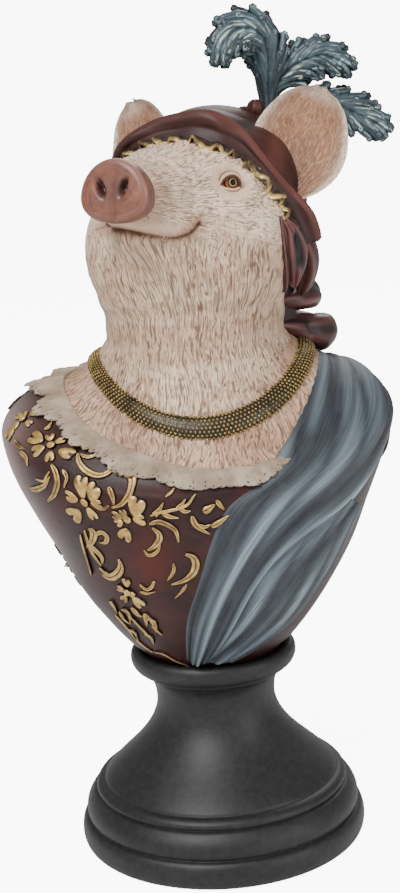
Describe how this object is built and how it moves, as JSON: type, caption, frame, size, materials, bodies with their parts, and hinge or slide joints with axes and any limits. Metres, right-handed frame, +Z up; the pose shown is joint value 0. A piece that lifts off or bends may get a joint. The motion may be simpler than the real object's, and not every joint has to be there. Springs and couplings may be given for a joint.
{
  "type": "pig figurine",
  "caption": "Painted cast bust of a pig in a beret with plumes, lace-edged court dress, sash and bead necklace, seated in a turned round pedestal",
  "frame": {"origin": "on the underside of the pedestal, at the axis it is turned about", "axes": "+Z up; -Y towards the viewer, so the chest faces -Y; +X to the viewer's right, the side the sash is on"},
  "size_m": [0.1448, 0.1189, 0.2979],
  "materials": {
    "plinth": "semi-matt charcoal black paint on cast resin",
    "painted_resin": "hand-painted cast resin: cream skin, dark red dress, slate sash, gold relief"
  },
  "bodies": {
    "root": {"plinth": "plinth", "pig_bust": "painted_resin"}
  },
  "joints": []
}
